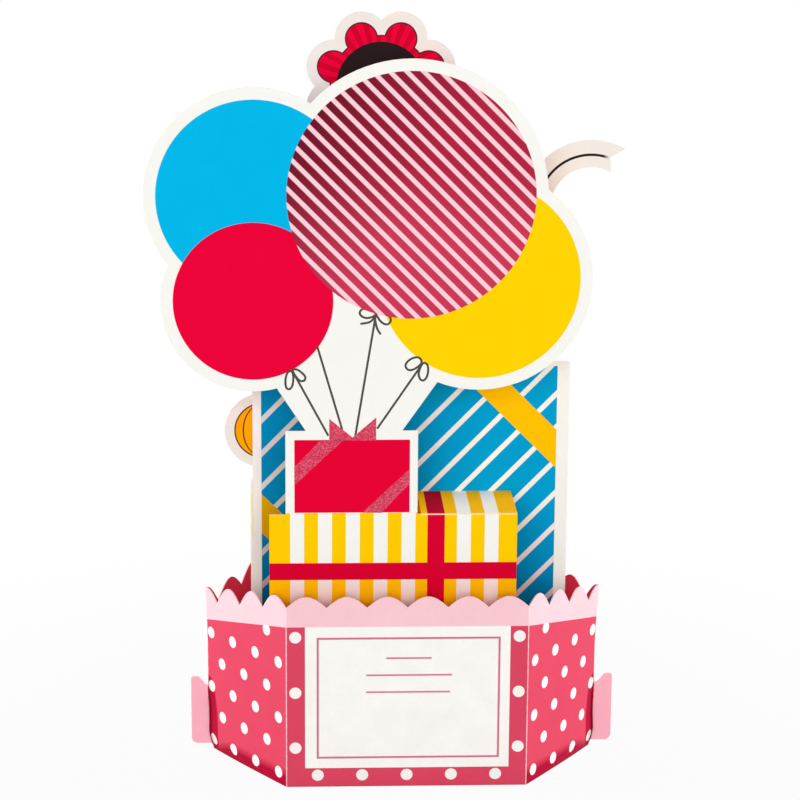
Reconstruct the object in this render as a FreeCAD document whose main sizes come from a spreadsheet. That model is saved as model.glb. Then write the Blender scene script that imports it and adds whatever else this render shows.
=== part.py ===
import FreeCAD, Part

import math
import os

import Sketcher
from FreeCAD import Placement, Rotation, Vector

# A pop up gift card, opened out to stand on a table. Millimetres, +Z up, the message side faces -Y.
# Every sheet is die-cut card. The hexagonal sleeve folds flat, and the hooks of the brace hold it open.
# The origin is on the table, midway between the outermost points left and right.

doc = FreeCAD.newDocument("pop_up_card")
dims = doc.addObject("Spreadsheet::Sheet", "Dims")

DRIVING = (
    ("card", 0.4, "thickness of the card"),
    ("panel_width", 80.0, "front and back panel of the sleeve, fold to fold"),
    ("side_width", 45.5, "slanting side panel, fold to fold"),
    ("half_depth", 36.4, "centre plane to the outside of the front panel"),
    ("rim_valley", 62.5, "height of the rim between two scallops, front and back"),
    ("rim_drop", 9.5, "how far the rim falls along a side panel"),
    ("scallop_rise", 4.0, "height of one scallop"),
    ("scallops_front", 6, "scallops on the front panel"),
    ("scallops_side", 3.5, "scallops on a side panel, ending half way at the side fold"),
    ("seam_flap", 12.0, "width of the flap glued behind the back panel"),
    ("seam_drop", 6.0, "how far the glued flap stays below the rim"),
    ("slot_sill", 1.6, "lower end of the slot in the side fold"),
    ("slot_head", 23.6, "upper end of the slot in the side fold"),
    ("slot_bow", 2.8, "how far the slot's edges curl back at their widest"),
    ("slot_bow_height", 7.0, "height at which they curl back most"),
    ("hook_gap", 0.3, "clearance between the brace and the sleeve"),
    ("hook_reach", 5.3, "how far a hook stands out past the side fold"),
    ("hook_rise", 2.9, "how far a hook rises above its neck"),
    ("hook_crown", 2.5, "width of the flat top of a hook"),
    ("hook_round", 2.2, "rounding at the lower corner of a hook"),
    ("crown_round", 0.8, "rounding at the upper corners of a hook"),
    ("brace_top", 44.0, "top edge of the brace inside the sleeve"),
    ("sheet_foot", 10.0, "lower edge of the printed sheets"),
    ("strip_foot", 18.0, "lower edge of the folded spacer strips"),
    ("strip_height", 14.0, "height of a spacer strip"),
    ("strip_tab", 8.0, "glued tab at each end of a spacer strip"),
    ("strip_place", 24.0, "spacer strips stand this far left and right"),
    ("layer_gap", 27.2, "clear space between the front sheet and the blue sheet"),
    ("gift_left", -45.4, "left edge of the striped gift"),
    ("gift_right", 36.3, "right edge of the striped gift"),
    ("gift_top", 92.0, "crease where the striped gift folds back"),
    ("lid_left", 4.6, "left edge of the folded top"),
    ("lid_tab", 8.0, "glued tab that hangs from the folded top"),
    ("parcel_left", -40.0, "left edge of the small gift"),
    ("parcel_right", 3.3, "right edge of the small gift"),
    ("parcel_top", 120.3, "top edge of the small gift"),
    ("neck_left", -33.3, "foot of the balloon strings, left"),
    ("neck_right", -1.9, "foot of the balloon strings, right"),
    ("waist_left", -42.4, "string bunch where it meets the lower balloons, left"),
    ("waist_left_height", 134.2, "height of that point"),
    ("waist_right", 9.3, "string bunch where it meets the lower balloons, right"),
    ("waist_right_height", 136.4, "height of that point"),
    ("balloon_border", 3.9, "white edge round the coloured field of a balloon"),
    ("striped_across", 0.6, "striped balloon, centre left or right"),
    ("striped_height", 197.7, "striped balloon, centre height"),
    ("striped_radius", 40.0, "striped balloon, coloured field"),
    ("blue_across", -49.9, "blue balloon, centre left or right"),
    ("blue_height", 197.4, "blue balloon, centre height"),
    ("blue_radius", 31.2, "blue balloon, coloured field"),
    ("red_across", -50.2, "red balloon, centre left or right"),
    ("red_height", 163.4, "red balloon, centre height"),
    ("red_radius", 25.8, "red balloon, coloured field"),
    ("yellow_across", 22.9, "yellow balloon, centre left or right"),
    ("yellow_height", 170.4, "yellow balloon, centre height"),
    ("yellow_radius", 32.5, "yellow balloon, coloured field"),
    ("wrap_left", -51.0, "left edge of the blue gift sheet"),
    ("wrap_right", 55.6, "right edge of the blue gift sheet"),
    ("wrap_top", 137.0, "top edge of the blue gift sheet"),
    ("wrap_round", 1.2, "rounding at its top corners"),
    ("back_left", -51.8, "left edge of the gift on the backdrop"),
    ("back_right", 50.0, "right edge of the gift on the backdrop"),
    ("back_top", 96.0, "top edge of the gift on the backdrop"),
    ("stem_foot", 22.0, "half width of the backdrop's stem at its foot"),
    ("stem_head", 18.0, "half width of the backdrop's stem at its head"),
    ("stem_top", 216.0, "height of the stem's head"),
    ("petal_count", 8, "petals of the rosette"),
    ("petal_ratio", 0.84, "radius of the dips between petals over the rosette's radius"),
    ("rosette_across", -8.4, "rosette, centre left or right"),
    ("rosette_height", 229.2, "rosette, centre height"),
    ("rosette_radius", 25.6, "rosette, centre to the tip of a petal"),
    ("lantern_across", -47.5, "round lantern, centre left or right"),
    ("lantern_height", 113.3, "round lantern, centre height"),
    ("lantern_radius", 12.8, "round lantern, radius"),
    ("tail_half", 3.0, "half width of the tail under the lantern"),
    ("tail_hold", 3.0, "how far the tail runs into the lantern and into the gift"),
    ("streamer_across", 61.2, "curled streamer, centre of its curl left or right"),
    ("streamer_height", 189.4, "curled streamer, centre of its curl"),
    ("streamer_outer", 22.2, "outer radius of the curl"),
    ("streamer_inner", 13.2, "inner radius of the curl"),
    ("streamer_start", -110.0, "degrees from straight up to the hidden end of the streamer"),
    ("streamer_end", 30.0, "degrees from straight up to the free end"),
    ("streamer_notch", 9.0, "degrees that the free end is notched back"),
    ("disc_left_across", -38.0, "left disc of the backdrop, centre left or right"),
    ("disc_left_height", 176.0, "left disc, centre height"),
    ("disc_left_radius", 23.0, "left disc, radius"),
    ("disc_right_across", 24.0, "right disc of the backdrop, centre left or right"),
    ("disc_right_height", 172.0, "right disc, centre height"),
    ("disc_right_radius", 25.0, "right disc, radius"),
)
WORKED_OUT = (
    ("side_run", "sqrt(side_width^2 - half_depth^2)", "how far a side panel runs out sideways"),
    ("half_width", "panel_width / 2 + side_run", "centre to the side fold"),
    ("fold_inset", "card * (side_width - side_run) / half_depth", "inner corner at a front fold"),
    ("side_inset", "card * side_width / half_depth", "inner corner at a side fold"),
    ("inner_depth", "half_depth - card", "centre plane to the inside of the front panel"),
    ("front_back", "-card - layer_gap", "back face of the front sheet"),
    ("front_face", "front_back - card", "front face of the front sheet"),
    ("backdrop_back", "2 * card", "back face of the backdrop"),
    ("brace_foot", "slot_sill + hook_gap", "lower edge of the brace"),
    ("neck_top", "slot_head - hook_gap", "top of the brace where it passes the slot"),
    ("hook_top", "neck_top + hook_rise", "top of a hook"),
    ("far_inset", "card * side_run / half_depth", "the side panel's run in one card thickness"),
    ("brace_half", "half_width - side_inset - hook_gap - far_inset", "half length of the brace inside"),
    ("hook_tip", "half_width + hook_reach", "centre to the tip of a hook"),
    ("rim_top", "rim_valley + scallop_rise", "highest point of the sleeve"),
    ("left_reach", "max(blue_radius + balloon_border - blue_across; hook_tip)", "outermost point, left"),
    ("yellow_edge", "yellow_across + yellow_radius + balloon_border", "right edge of its balloon"),
    (
        "streamer_edge",
        "streamer_across + streamer_outer * sin(streamer_end * 1 deg)",
        "right corner of the streamer",
    ),
    ("right_reach", "max(hook_tip; yellow_edge; streamer_edge)", "outermost point, right"),
    ("base_shift", "(left_reach - right_reach) / 2", "centre of the sleeve from the origin"),
)

for row, (alias, value, note) in enumerate(DRIVING + WORKED_OUT, start=1):
    dims.set(f"A{row}", note)
    dims.set(f"B{row}", f"={value}" if isinstance(value, str) else str(value))
    dims.setAlias(f"B{row}", alias)
doc.recompute()


def size(alias):
    """One dimension as a plain number."""
    return float(dims.get(alias))


def value_of(words):
    """An expression in the sheet's own names as a plain number."""
    return float(dims.evalExpression(words))


def bound(words):
    """The same expression as another object of the document has to write it."""
    names = sorted((row[0] for row in DRIVING + WORKED_OUT), key=len, reverse=True)
    out, place = "", 0
    while place < len(words):
        name = next((n for n in names if words.startswith(n, place)), None)
        out += f"Dims.{name}" if name else words[place]
        place += len(name) if name else 1
    return out


def plane_of(body, role):
    return next(f for f in body.Origin.OriginFeatures if f.Role == role)


def draw_loop(sketch, corners):
    """A closed run of lines whose corners are held at expressions of the sheet."""
    first = sketch.GeometryCount
    points = [Vector(value_of(x), value_of(y), 0) for x, y in corners]
    for k, start in enumerate(points):
        sketch.addGeometry(Part.LineSegment(start, points[(k + 1) % len(points)]), False)
    for k, corner in enumerate(corners):
        line, following = first + k, first + (k + 1) % len(corners)
        sketch.addConstraint(Sketcher.Constraint("Coincident", line, 2, following, 1))
        for kind, axis, words in zip(("DistanceX", "DistanceY"), (-2, -1), corner):
            if words == "0":
                sketch.addConstraint(Sketcher.Constraint("PointOnObject", line, 1, axis))
                continue
            rule = Sketcher.Constraint(kind, -1, 1, line, 1, value_of(words))
            index = sketch.addConstraint(rule)
            sketch.setExpression(f"Constraints[{index}]", bound(words))


def padded_body(name, role, offset, length, *loops):
    """A flat or straight piece: loops drawn on a plane of the body and padded."""
    body = doc.addObject("PartDesign::Body", name)
    sketch = body.newObject("Sketcher::SketchObject", f"{name}_outline")
    sketch.AttachmentSupport = [(plane_of(body, role), "")]
    sketch.MapMode = "FlatFace"
    sketch.setExpression("AttachmentOffset.Base.z", bound(offset))
    for corners in loops:
        draw_loop(sketch, corners)
    pad = body.newObject("PartDesign::Pad", f"{name}_pad")
    pad.Profile = sketch
    pad.setExpression("Length", bound(length))
    body.Tip = pad
    doc.recompute()
    return body


def round_corners(body, name, height, radius):
    """Rounds the corners of an upright sheet that lie at one height."""
    pad, level = body.Tip, size(height)
    corners = [
        f"Edge{k}"
        for k, edge in enumerate(pad.Shape.Edges, start=1)
        if edge.BoundBox.XLength < size("card") / 2
        and all(abs(v.Z - level) < size("card") / 2 for v in edge.Vertexes)
    ]
    rounded = body.newObject("PartDesign::Fillet", name)
    rounded.Base = (pad, corners)
    rounded.setExpression("Radius", bound(radius))
    body.Tip = rounded
    doc.recompute()
    return body


def box(name, x, y, z, length, width, height):
    """A rectangular field of card, from its lowest corner."""
    piece = doc.addObject("Part::Box", name)
    for prop, words in (
        ("Length", length),
        ("Width", width),
        ("Height", height),
        ("Placement.Base.x", x),
        ("Placement.Base.y", y),
        ("Placement.Base.z", z),
    ):
        piece.setExpression(prop, bound(words))
    return piece


def disc(name, prefix, back, border="0 * card"):
    """A round of card, one thickness deep, whose back face lies at the given depth."""
    piece = doc.addObject("Part::Cylinder", name)
    piece.Placement = Placement(Vector(), Rotation(Vector(1, 0, 0), 90))
    for prop, words in (
        ("Radius", f"{prefix}_radius + {border}"),
        ("Height", "card"),
        ("Placement.Base.x", f"{prefix}_across"),
        ("Placement.Base.y", back),
        ("Placement.Base.z", f"{prefix}_height"),
    ):
        piece.setExpression(prop, bound(words))
    return piece


def turned(reach, turn):
    """A place at a distance from the centre of a motif, turned clockwise from straight up."""
    return Vector(reach * math.sin(turn), 0, reach * math.cos(turn))


def motif(name, prefix, outline, back):
    """A shape of card drawn round its own centre, one thickness deep."""
    piece = doc.addObject("Part::Feature", name)
    face = Part.Face(Part.Wire(Part.__sortEdges__(outline)))
    piece.Shape = face.extrude(Vector(0, -size("card"), 0))
    piece.Placement = Placement(
        Vector(size(f"{prefix}_across"), value_of(back), size(f"{prefix}_height")), Rotation()
    )
    return piece


def petals():
    """The petalled edge of the rosette, with a dip straight up."""
    tip = size("rosette_radius")
    dip = tip * size("petal_ratio")
    step = 2 * math.pi / size("petal_count")
    return [
        Part.Arc(turned(dip, step * k), turned(tip, step * (k + 0.5)), turned(dip, step * (k + 1)))
        .toShape()
        for k in range(int(size("petal_count")))
    ]


def curl():
    """The edge of the streamer: a band along an arc, with a notch in its free end."""
    outer, inner = size("streamer_outer"), size("streamer_inner")
    names = ("streamer_start", "streamer_end", "streamer_notch")
    start, end, notch = (math.radians(size(n)) for n in names)
    middle = (start + end) / 2
    deep = turned((outer + inner) / 2, end - notch)
    return [
        Part.Arc(turned(outer, start), turned(outer, middle), turned(outer, end)).toShape(),
        Part.LineSegment(turned(outer, end), deep).toShape(),
        Part.LineSegment(deep, turned(inner, end)).toShape(),
        Part.Arc(turned(inner, end), turned(inner, middle), turned(inner, start)).toShape(),
        Part.LineSegment(turned(inner, start), turned(outer, start)).toShape(),
    ]


def join(name, pieces):
    """Fields of one die-cut sheet joined into one solid."""
    sheet = doc.addObject("Part::MultiFuse", name)
    sheet.Shapes = pieces
    sheet.Refine = True
    return sheet


def rim_cutter(name, start, end, first_height, last_height, scallops):
    """What lies above the scalloped rim of one panel, from one fold to the next."""
    along = end - start
    pitch = along.Length / scallops
    along.normalize()
    fall = (last_height - first_height) / scallops
    whole = math.ceil(scallops)
    edges = []
    for k in range(whole):
        low = [start + along * (pitch * (k + j)) for j in (0, 0.5, 1)]
        heights = [first_height + fall * (k + j) for j in (0, 0.5, 1)]
        heights[1] += size("scallop_rise")
        edges.append(Part.Arc(*(p + Vector(0, 0, z) for p, z in zip(low, heights))).toShape())
    over = Vector(0, 0, 2 * size("rim_top"))
    last = start + along * (pitch * whole)
    left = start + Vector(0, 0, first_height)
    right = last + Vector(0, 0, first_height + fall * whole)
    closing = Part.makePolygon([right, last + over, start + over, left])
    outline = Part.Wire(Part.__sortEdges__(edges + closing.Edges))
    outward = along.cross(Vector(0, 0, 1))
    skin = 4 * size("card")
    above = Part.Face(outline)
    above.translate(outward * -skin)
    above = above.extrude(outward * (2 * skin))
    # Neighbouring cutters meet on planes from the centre line through the folds.
    wedge = Part.Face(Part.makePolygon([Vector(), start * 1.5, end * 1.5, Vector()]))
    piece = doc.addObject("Part::Feature", name)
    piece.Shape = above.common(wedge.extrude(over * 2))
    return piece


def slot_cutter(name, side):
    """The slot in a side fold, with the curl of its edges, cut straight through both panels."""
    fold, bow = size("half_width"), size("slot_bow")
    outside = fold + size("card")
    sill, head, widest = size("slot_sill"), size("slot_head"), size("slot_bow_height")
    inset = fold - size("side_inset") - size("hook_gap")
    half = size("card") + size("hook_gap")
    points = [(outside, sill), (inset, sill), (fold - bow, widest), (inset, head), (outside, head)]
    corners = [Vector(side * x, 0, z) for x, z in points]
    swell = Vector(side * (inset - 0.6 * bow), 0, (widest + head) / 2)
    edges = [
        Part.LineSegment(corners[0], corners[1]).toShape(),
        Part.LineSegment(corners[1], corners[2]).toShape(),
        Part.Arc(corners[2], swell, corners[3]).toShape(),
        Part.LineSegment(corners[3], corners[4]).toShape(),
        Part.LineSegment(corners[4], corners[0]).toShape(),
    ]
    lens = Part.Face(Part.Wire(edges))
    spread = 2 * (bow + half)
    lens.translate(Vector(0, -spread, 0))
    piece = doc.addObject("Part::Feature", name)
    piece.Shape = lens.extrude(Vector(0, 2 * spread, 0))
    return piece


def make_sleeve():
    """The hexagonal sleeve that stands on the table: six panels of one glued sheet."""
    hexagon = [
        ("-half_width", "0"),
        ("-panel_width / 2", "-half_depth"),
        ("panel_width / 2", "-half_depth"),
        ("half_width", "0"),
        ("panel_width / 2", "half_depth"),
        ("-panel_width / 2", "half_depth"),
    ]
    inside = [
        ("-half_width + side_inset", "0"),
        ("-panel_width / 2 + fold_inset", "-inner_depth"),
        ("panel_width / 2 - fold_inset", "-inner_depth"),
        ("half_width - side_inset", "0"),
        ("panel_width / 2 - fold_inset", "inner_depth"),
        ("-panel_width / 2 + fold_inset", "inner_depth"),
    ]
    wall = padded_body("sleeve_wall", "XY_Plane", "0 * card", "rim_top", hexagon, inside)
    flap = box(
        "sleeve_flap",
        "-panel_width / 2 + fold_inset",
        "inner_depth - card",
        "slot_sill",
        "seam_flap",
        "card",
        "rim_valley - seam_drop - slot_sill",
    )
    folds = [Vector(value_of(x), value_of(y), 0) for x, y in hexagon]
    high, low = size("rim_valley"), size("rim_valley") - size("rim_drop")
    front, side = size("scallops_front"), size("scallops_side")
    left, near_left, near_right, right, far_right, far_left = folds
    cutters = [
        rim_cutter("rim_front", near_left, near_right, high, high, front),
        rim_cutter("rim_near_right", near_right, right, high, low, side),
        rim_cutter("rim_far_right", far_right, right, high, low, side),
        rim_cutter("rim_back", far_right, far_left, high, high, front),
        rim_cutter("rim_far_left", far_left, left, high, low, side),
        rim_cutter("rim_near_left", near_left, left, high, low, side),
        slot_cutter("slot_right", 1),
        slot_cutter("slot_left", -1),
    ]
    trimmed = doc.addObject("Part::Cut", "base_sleeve")
    trimmed.Base = join("sleeve_blank", [wall, flap])
    trimmed.Tool = join("sleeve_waste", cutters)
    return trimmed


def make_brace():
    """The cross brace in the centre plane, whose hooks come out through the side folds."""
    half = [
        ("hook_tip", "brace_foot"),
        ("hook_tip", "hook_top"),
        ("hook_tip - hook_crown", "hook_top"),
        ("half_width + hook_gap", "neck_top"),
        ("brace_half", "neck_top"),
        ("brace_half", "brace_top"),
    ]
    mirrored = [(f"-({x})", z) for x, z in reversed(half)]
    body = padded_body("lock_brace", "XZ_Plane", "-card", "card", half + mirrored)
    round_corners(body, "hook_crowns", "hook_top", "crown_round")
    return round_corners(body, "hook_corners", "brace_foot", "hook_round")


def make_wrap():
    """The wide blue gift sheet, glued to the front of the brace."""
    corners = [
        ("wrap_left", "sheet_foot"),
        ("wrap_right", "sheet_foot"),
        ("wrap_right", "wrap_top"),
        ("wrap_left", "wrap_top"),
    ]
    body = padded_body("blue_gift_sheet", "XZ_Plane", "0 * card", "card", corners)
    return round_corners(body, "wrap_corners", "wrap_top", "wrap_round")


def make_front():
    """The front sheet: striped gift, its top folded back, the small gift and the balloons."""
    stem = [
        ("neck_left", "gift_top"),
        ("neck_left", "parcel_top"),
        ("waist_left", "waist_left_height"),
        ("red_across", "red_height"),
        ("striped_across", "striped_height"),
        ("yellow_across", "yellow_height"),
        ("waist_right", "waist_right_height"),
        ("neck_right", "parcel_top"),
        ("neck_right", "gift_top"),
    ]
    fields = [
        padded_body("string_bunch", "XZ_Plane", "-front_back", "card", stem),
        box(
            "striped_gift",
            "gift_left",
            "front_face",
            "sheet_foot",
            "gift_right - gift_left",
            "card",
            "gift_top - sheet_foot",
        ),
        box(
            "small_gift",
            "parcel_left",
            "front_face",
            "gift_top - card",
            "parcel_right - parcel_left",
            "card",
            "parcel_top - gift_top + card",
        ),
        box(
            "folded_top",
            "lid_left",
            "front_face",
            "gift_top - card",
            "gift_right - lid_left",
            "layer_gap + card",
            "card",
        ),
        box(
            "folded_top_tab",
            "lid_left",
            "-2 * card",
            "gift_top - lid_tab",
            "gift_right - lid_left",
            "card",
            "lid_tab",
        ),
    ]
    for hue in ("blue", "red", "yellow", "striped"):
        fields.append(disc(f"{hue}_balloon", hue, "front_back", "balloon_border"))
    return join("front_gift_sheet", fields)


def make_backdrop():
    """The backdrop behind the brace: a second gift, a rosette, a lantern, a streamer and discs."""
    stem = [
        ("-stem_foot", "sheet_foot"),
        ("stem_foot", "sheet_foot"),
        ("stem_head", "stem_top"),
        ("-stem_head", "stem_top"),
    ]
    back = "backdrop_back"
    fields = [
        padded_body("backdrop_stem", "XZ_Plane", "-backdrop_back", "card", stem),
        box(
            "backdrop_gift",
            "back_left",
            "card",
            "sheet_foot",
            "back_right - back_left",
            "card",
            "back_top - sheet_foot",
        ),
    ]
    fields += [
        box(
            "lantern_tail",
            "lantern_across - tail_half",
            "card",
            "back_top - tail_hold",
            "2 * tail_half",
            "card",
            "lantern_height - lantern_radius - back_top + 2 * tail_hold",
        ),
        motif("rosette_field", "rosette", petals(), back),
        motif("streamer_field", "streamer", curl(), back),
        disc("lantern_field", "lantern", back),
        disc("disc_left_field", "disc_left", back),
        disc("disc_right_field", "disc_right", back),
    ]
    return join("party_backdrop", fields)


def make_strips():
    """The spacer strips: a glued tab, a web and a second glued tab, folded from one strip each."""
    gaps = {
        "front": ("-inner_depth", "front_face"),
        "middle": ("front_back", "-card"),
        "back": ("backdrop_back", "inner_depth"),
    }
    strips = []
    for gap, (near, far) in gaps.items():
        for side, place in (("left", "-strip_place"), ("right", "strip_place")):
            outline = [
                (f"{place} - strip_tab", near),
                (f"{place} + card", near),
                (f"{place} + card", f"{far} - card"),
                (f"{place} + strip_tab + card", f"{far} - card"),
                (f"{place} + strip_tab + card", far),
                (place, far),
                (place, f"{near} + card"),
                (f"{place} - strip_tab", f"{near} + card"),
            ]
            name = f"{gap}_spacer_{side}"
            strips.append(padded_body(name, "XY_Plane", "strip_foot", "strip_height", outline))
    return strips


nodes = [make_sleeve(), make_brace(), make_wrap(), make_front(), make_backdrop(), *make_strips()]
for node in nodes:
    node.setExpression("Placement.Base.x", "Dims.base_shift")
doc.recompute()

failed = [o.Name for o in doc.Objects if {"Invalid", "Error"} & set(o.State)]
failed += [n.Name for n in nodes if n.Shape.isNull() or not n.Shape.isValid()]
failed += [n.Name for n in nodes if len(n.Shape.Solids) != 1]
if failed:
    raise RuntimeError(f"these pieces did not build: {', '.join(failed)}")

os.makedirs("parts", exist_ok=True)
for node in nodes:
    node.Label = node.Name
    node.Shape.exportStep(f"parts/{node.Label}.step")
    room = node.Shape.BoundBox
    print(f"{node.Label}: {node.Shape.Volume:.1f} mm3, x {room.XMin:.2f} to {room.XMax:.2f},"
          f" y {room.YMin:.2f} to {room.YMax:.2f}, z {room.ZMin:.2f} to {room.ZMax:.2f}")
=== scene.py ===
import math
from collections import namedtuple

import bpy
from bpy.props import FloatProperty, FloatVectorProperty, IntProperty, PointerProperty
from bpy.types import Operator, Panel, PropertyGroup
from mathutils import Euler, Matrix, Vector


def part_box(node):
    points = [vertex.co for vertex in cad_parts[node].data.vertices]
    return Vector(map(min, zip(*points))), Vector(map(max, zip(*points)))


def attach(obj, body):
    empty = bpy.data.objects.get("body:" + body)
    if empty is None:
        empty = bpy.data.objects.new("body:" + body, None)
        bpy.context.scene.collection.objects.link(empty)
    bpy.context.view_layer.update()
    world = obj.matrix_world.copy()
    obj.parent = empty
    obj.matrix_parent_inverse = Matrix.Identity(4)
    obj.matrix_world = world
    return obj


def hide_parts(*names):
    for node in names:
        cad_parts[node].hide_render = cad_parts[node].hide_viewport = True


bl_info = {
    "name": "Pop up card",
    "version": (1, 0, 0),
    "blender": (4, 5, 0),
    "location": "3D View > Sidebar > Pop up card",
    "description": "Builds a folded pop up gift card from its sleeve, printed sheets and spacers",
    "category": "Add Mesh",
}

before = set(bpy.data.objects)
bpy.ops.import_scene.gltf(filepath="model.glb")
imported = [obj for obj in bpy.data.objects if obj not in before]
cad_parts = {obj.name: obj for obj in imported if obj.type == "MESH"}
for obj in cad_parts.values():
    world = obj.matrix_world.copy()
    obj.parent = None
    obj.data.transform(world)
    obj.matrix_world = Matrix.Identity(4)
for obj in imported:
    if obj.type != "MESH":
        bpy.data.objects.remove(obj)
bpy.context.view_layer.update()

# Everything is in metres. MM turns the millimetres of a card maker's drawing into metres.
MM = 0.001
# Points closer together than this are one point.
HAIR = 1e-6
BRACE_LOW, BRACE_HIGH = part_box("lock_brace")
SLEEVE_LOW, SLEEVE_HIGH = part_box("base_sleeve")
BLUE_LOW, BLUE_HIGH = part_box("blue_gift_sheet")
FRONT_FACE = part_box("front_gift_sheet")[0].y
CENTRE = (BRACE_LOW.x + BRACE_HIGH.x) / 2
CARD = BLUE_HIGH.y - BLUE_LOW.y
HALF_DEPTH = SLEEVE_HIGH.y
HALF_WIDTH = (SLEEVE_HIGH.x - SLEEVE_LOW.x) / 2


def tone(red, green, blue):
    """A colour as it looks on a screen, 0 to 255, as the linear values Blender works with."""
    parts = [c / 255 for c in (red, green, blue)]
    return tuple(c / 12.92 if c < 0.04045 else ((c + 0.055) / 1.055) ** 2.4 for c in parts)


def length(name, millimetres, words):
    """A length that a user can change, given in millimetres."""
    return FloatProperty(name=name, description=words, default=millimetres * MM, min=0.0, unit="LENGTH")


def colour(name, red, green, blue, words):
    """A colour that a user can change."""
    default = tone(red, green, blue)
    return FloatVectorProperty(
        name=name, description=words, default=default, min=0.0, max=1.0, subtype="COLOR"
    )


class SleeveSizes(PropertyGroup):
    """Sizes of the hexagonal sleeve and of what is printed on it."""

    panel_width: length("Panel width", 80.0, "Front and back panel, fold to fold")
    rim_valley: length("Rim height", 62.5, "Height between two scallops of the front rim")
    rim_drop: length("Rim drop", 9.0, "How far the rim falls towards a side fold")
    rim_dip: length("Side valleys", 0.6, "How much deeper the valleys of the side panels are cut")
    scallop_rise: length("Scallop rise", 3.7, "Height of a scallop on the front")
    side_rise: length("Side scallop rise", 5.4, "Height of a scallop on a side panel")
    far_drop: length("Far rim drop", 2.4, "How much lower the rim is on the far panels")
    scallops_front: IntProperty(name="Scallops", description="Scallops on the front", default=6, min=1)
    scallops_side: FloatProperty(
        name="Side scallops", description="Scallops on a side panel", default=3.5, min=0.5
    )
    flap_width: length("Glued flap", 12.0, "Width of the flap glued behind the back panel")
    slot_sill: length("Slot sill", 1.6, "Lower end of the slot in a side fold")
    slot_head: length("Slot head", 23.6, "Upper end of the slot in a side fold")
    slot_curl: length("Slot curl", 0.25, "How far the slot's edges roll towards the middle")
    foot_tuck: length("Foot tuck", 0.6, "How far the side folds lean in towards the table")
    lean_left: length("Left lean", 0.5, "How far the left fold leans in at the height of the hook")
    lean_right: length("Right lean", 0.9, "How far the right fold leans in at the height of the hook")
    lens_width: length("Curled edge", 5.8, "Widest part of the curled card beside a slot")
    # The next two size the patch of painted shade on the curled card beside each slot.
    lens_head: length("Curled edge head", 26.5, "Upper end of the curled card beside a slot")
    foot_crease: length("Foot crease", 7.0, "Height at the side fold of the crease above the foot")
    foot_bend: length("Foot bend", 2.0, "How far the foot of a side fold is pressed in below it")
    dot_size: length("Dot", 3.95, "Diameter of a printed dot")
    dot_pitch: length("Dot spacing", 7.4, "Distance between columns of dots on the front")
    dot_pitch_side: length("Side dot spacing", 6.45, "Distance between columns on the sides")
    dot_rise: length("Dot rise", 19.3, "Distance between the dots of one column")
    dot_foot: length("Lowest dot", 4.1, "Height of the lowest dot")
    band_foot: length("Rim band", 55.9, "Lower edge of the pale band on the front")
    band_drop: length("Rim band drop", 9.0, "How far the pale band falls towards a side fold")


class SheetSizes(PropertyGroup):
    """How the printed sheets bend, and how thick the raised inks are."""

    lean: length("Balloon lean", 0.7, "How far the balloons lean forward at their top")
    wave: length("Wave", 0.35, "Slight wave across a sheet")
    raised: length("Raised ink", 0.05, "Thickness of foil and glitter on the card")
    line: length("String width", 0.72, "Width of a printed balloon string")


class CardColours(PropertyGroup):
    """Inks and papers of the card, and the colours that paint shade, sheen, highlight and reflection onto
    them.
    """

    card: colour("Card", 247, 246, 240, "White card")
    # Painted shade: a darker white for the backdrop's card, which stands in shade behind the other sheets.
    shaded_backdrop_white: colour("Ivory card", 239, 234, 226, "Card of the backdrop")
    # Crimson ink with the card's sheen painted into it, so that the gloss can stay low.
    crimson: colour("Crimson", 219, 70, 97, "Ground of the sleeve")
    # Painted shade: the crimson where the card curls beside a slot and where it is pressed in at the foot.
    pressed_and_shaded: colour("Pressed crimson", 176, 0, 50, "Crimson where the card is pressed in")
    inner: colour("Sleeve inside", 172, 28, 52, "Inside of the sleeve")
    band: colour("Rim band", 249, 201, 209, "Pale band along the rim")
    brace: colour("Brace", 250, 180, 195, "Hooks and brace")
    label_ink: colour("Label ink", 214, 112, 140, "Frame and lines on the label")
    yellow: colour("Gift yellow", 255, 204, 0, "Stripes of the gift")
    ribbon: colour("Ribbon", 216, 0, 50, "Ribbon on the gift")
    # Painted shade: darker copies of the gift's yellow and ribbon for its folded top.
    shaded_lid_yellow: colour("Lid yellow", 255, 190, 0, "Stripes on the folded top of the gift")
    shaded_lid_ribbon: colour("Lid ribbon", 178, 0, 38, "Ribbon on the folded top of the gift")
    parcel: colour("Small gift", 231, 0, 53, "Field of the small gift")
    blue: colour("Sheet blue", 0, 159, 212, "Ground of the blue gift")
    sky: colour("Balloon blue", 0, 183, 233, "Blue balloon")
    red: colour("Balloon red", 236, 0, 56, "Red balloon")
    sun: colour("Balloon yellow", 255, 211, 0, "Yellow balloon")
    foil: colour("Foil", 174, 27, 61, "Foil of the striped balloon")
    # Painted reflection: the foil paler in the lower half and darkest at the upper left.
    foil_pale_reflection: colour("Pale foil", 201, 53, 84, "Foil in the lower half of the balloon")
    foil_dark_reflection: colour("Deep foil", 92, 0, 26, "Foil where it is darkest")
    stripe: colour("Balloon stripe", 252, 207, 215, "Pale stripes on the foil")
    glitter: colour("Glitter", 213, 40, 78, "Glitter ribbon")
    string: colour("String", 75, 70, 62, "Printed strings")
    dark: colour("Dark ink", 40, 28, 30, "Ring and lines of the backdrop")
    tape: colour("Tape", 255, 194, 0, "Slanting ribbons on the blue sheet")
    orange: colour("Orange ink", 255, 166, 0, "Lantern of the backdrop")


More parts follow.
